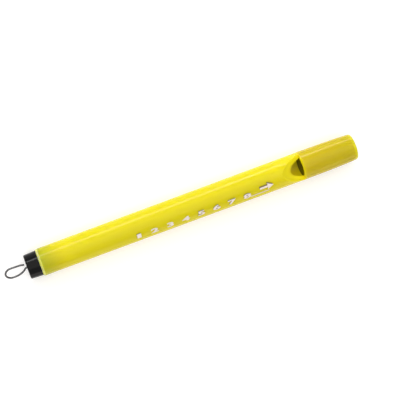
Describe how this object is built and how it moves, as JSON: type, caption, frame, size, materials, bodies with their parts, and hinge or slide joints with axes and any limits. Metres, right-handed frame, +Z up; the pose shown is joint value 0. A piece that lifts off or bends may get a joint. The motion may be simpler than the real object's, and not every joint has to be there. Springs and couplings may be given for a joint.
{
  "type": "slide whistle",
  "caption": "Slide whistle: a plastic tube with a fipple mouthpiece and a window, and a sealed piston that a steel wire with a pull loop slides along the bore to change the pitch.",
  "frame": {"origin": "under the middle of the whistle's whole length, from the mouth end to the far end of the pull loop, level with the lowest point of the tube", "axes": "+X along the tube towards the mouth end, +Z up out of the sounding window, +Y to the left when looking along +X"},
  "size_m": [0.2144, 0.0168, 0.0168],
  "materials": {
    "tube_plastic": "glossy opaque yellow moulding",
    "black_plastic": "satin black moulding",
    "wire_steel": "drawn steel wire",
    "piston_plastic": "plain off-white moulding",
    "seal_rubber": "soft black rubber",
    "washer_steel": "stamped steel"
  },
  "bodies": {
    "whistle_body": {"barrel": "tube_plastic", "fipple_plug": "black_plastic", "end_cap": "black_plastic"},
    "piston": {"piston_spool": "piston_plastic", "piston_seal": "seal_rubber"},
    "wire": {"pull_wire": "wire_steel", "front_washer": "washer_steel", "rear_washer": "washer_steel"}
  },
  "joints": [
    {"name": "piston_slide", "type": "slide", "parent": "whistle_body", "child": "piston", "axis": [-1, 0, 0], "range_m": [0, 0.1218]},
    {"name": "wire_turn", "type": "hinge", "parent": "piston", "child": "wire", "pos_m": [0.05, 0, 0.0084], "axis": [-1, 0, 0], "continuous": true}
  ]
}
